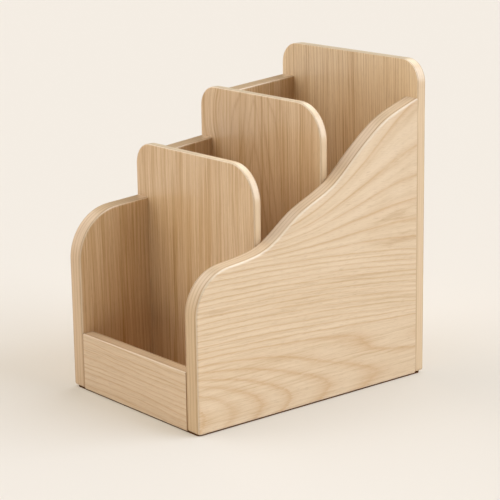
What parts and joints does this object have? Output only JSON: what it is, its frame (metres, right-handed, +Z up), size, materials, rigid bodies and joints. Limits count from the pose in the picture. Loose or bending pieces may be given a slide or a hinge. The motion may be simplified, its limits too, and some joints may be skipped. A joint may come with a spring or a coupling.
{
  "type": "vertical file holder",
  "caption": "Stepped wooden desk file holder with upright compartments, a low front lip, rounded dividers, one wavy side panel and a tall back.",
  "frame": {"origin": "centre of the footprint on the surface that the holder stands on", "axes": "+X to the right seen from the front, +Y from the front lip to the back panel, +Z up"},
  "size_m": [0.182, 0.261, 0.288],
  "materials": {
    "light_oak_side": "matt clear coat, grain along the depth on the right panel and upright on the left panel",
    "light_oak_upright": "matt clear coat, grain upright on the back and the dividers",
    "light_oak_lip": "matt clear coat, grain along the width",
    "dowel_wood": "bare turned wood",
    "felt_liner": "thin dark brown felt"
  },
  "bodies": {
    "root": {"left_side_panel": "light_oak_side", "right_side_panel": "light_oak_side", "back_panel": "light_oak_upright", "front_lip": "light_oak_lip", "bottom_panel": "light_oak_upright", "front_divider": "light_oak_upright", "rear_divider": "light_oak_upright", "base_liner": "felt_liner", "lip_dowels": "dowel_wood", "bottom_dowels": "dowel_wood", "back_dowels": "dowel_wood"}
  },
  "joints": []
}
